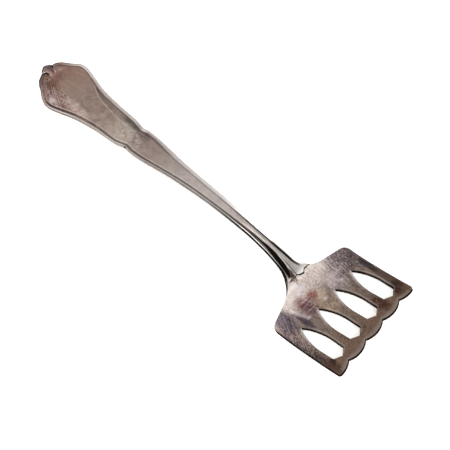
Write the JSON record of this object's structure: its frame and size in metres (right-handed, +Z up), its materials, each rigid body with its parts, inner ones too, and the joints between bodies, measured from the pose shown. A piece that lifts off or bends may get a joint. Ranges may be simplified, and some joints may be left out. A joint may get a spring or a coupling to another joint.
{
  "type": "sardine fork",
  "caption": "Small serving fork with a broad pierced head, tines joined at a scalloped tip bar, and a thread-bordered handle soldered over the head's tang.",
  "frame": {"origin": "on the table under the middle of the fork's length and width, as it lies face up", "axes": "+X from the handle's end to the tine tips, +Z up from the table, +Y to the left of the handle when looking along +X"},
  "size_m": [0.15, 0.0382, 0.012],
  "materials": {
    "handle_plate": "worn, tarnished silver plate",
    "head_plate": "worn, scratched and tarnished silver plate",
    "solder": "dull hard solder under the plate"
  },
  "bodies": {
    "root": {"handle": "handle_plate", "blade": "head_plate", "solder_seam": "solder"}
  },
  "joints": []
}
